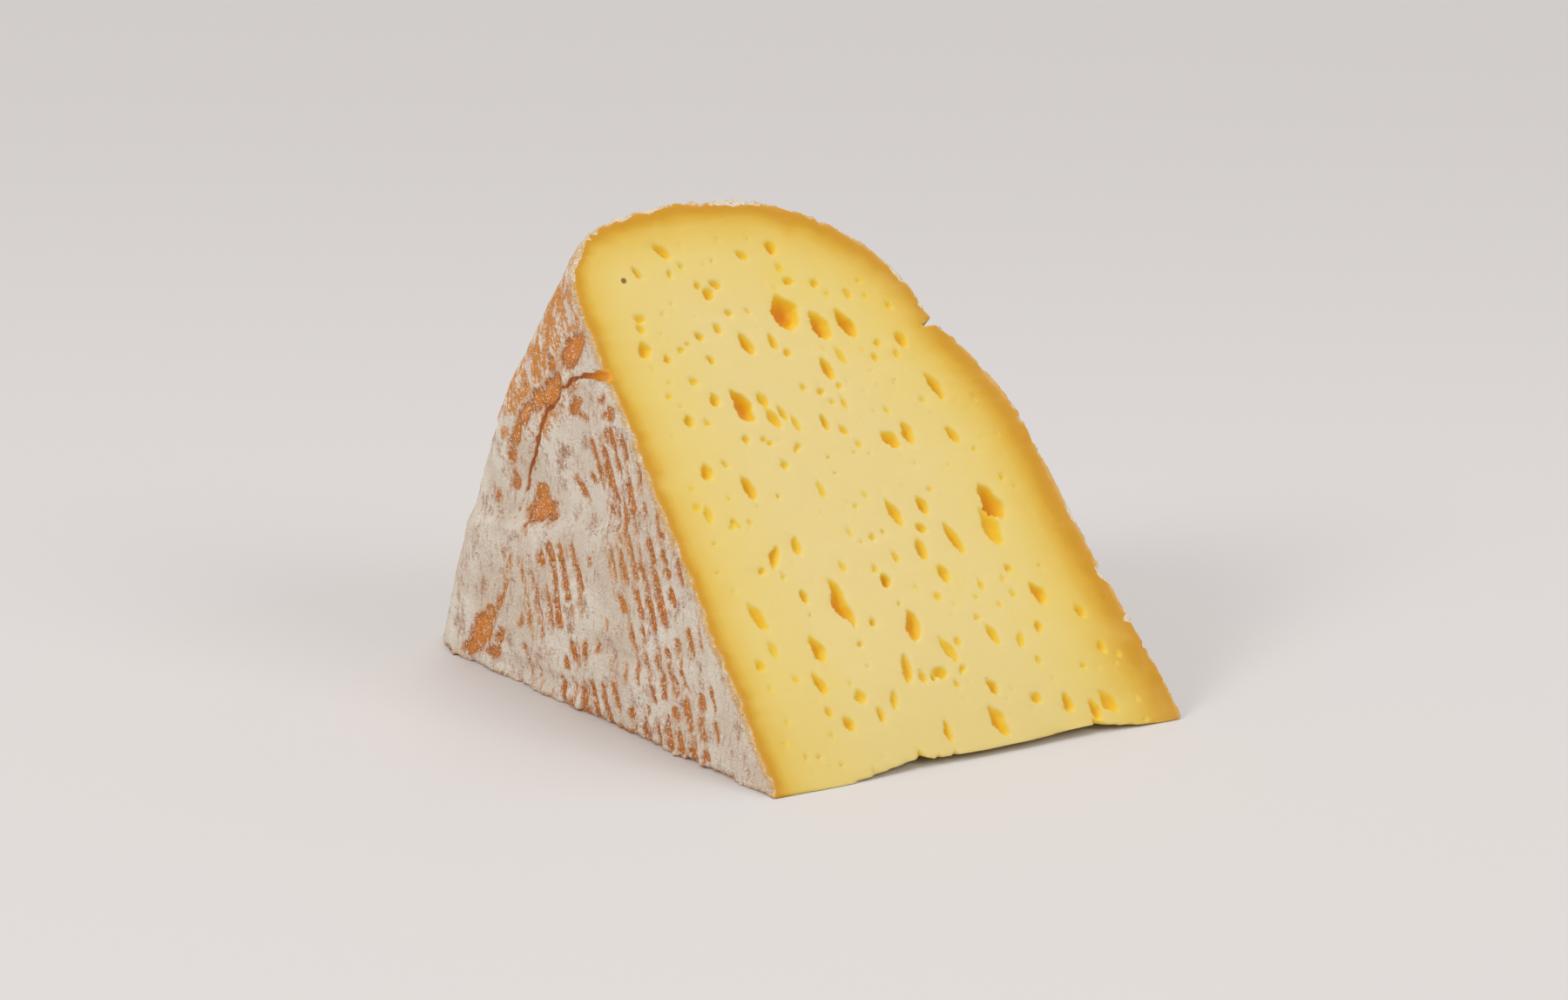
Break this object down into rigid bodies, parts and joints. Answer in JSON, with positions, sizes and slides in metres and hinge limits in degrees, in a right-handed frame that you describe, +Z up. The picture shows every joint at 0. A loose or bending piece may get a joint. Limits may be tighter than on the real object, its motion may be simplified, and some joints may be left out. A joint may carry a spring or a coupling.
{
  "type": "cheese block",
  "caption": "Sector-shaped block of semi-hard cheese with a mat-marked bloomy rind on three sides, small slit eyes in its two cut faces and a slumped rounded heel.",
  "frame": {"origin": "middle of the underside of the block's box, on the lower cut face that the block rests on", "axes": "+X along the sharp front edge from the left rind to the right rind, +Y from the front edge back to the heel, +Z up"},
  "size_m": [0.1013, 0.1242, 0.0978],
  "materials": {
    "cheese": "satin pale yellow paste, darker to the rind, with a dry grey-white and orange rind"
  },
  "bodies": {
    "root": {"cheese_block": "cheese"}
  },
  "joints": []
}
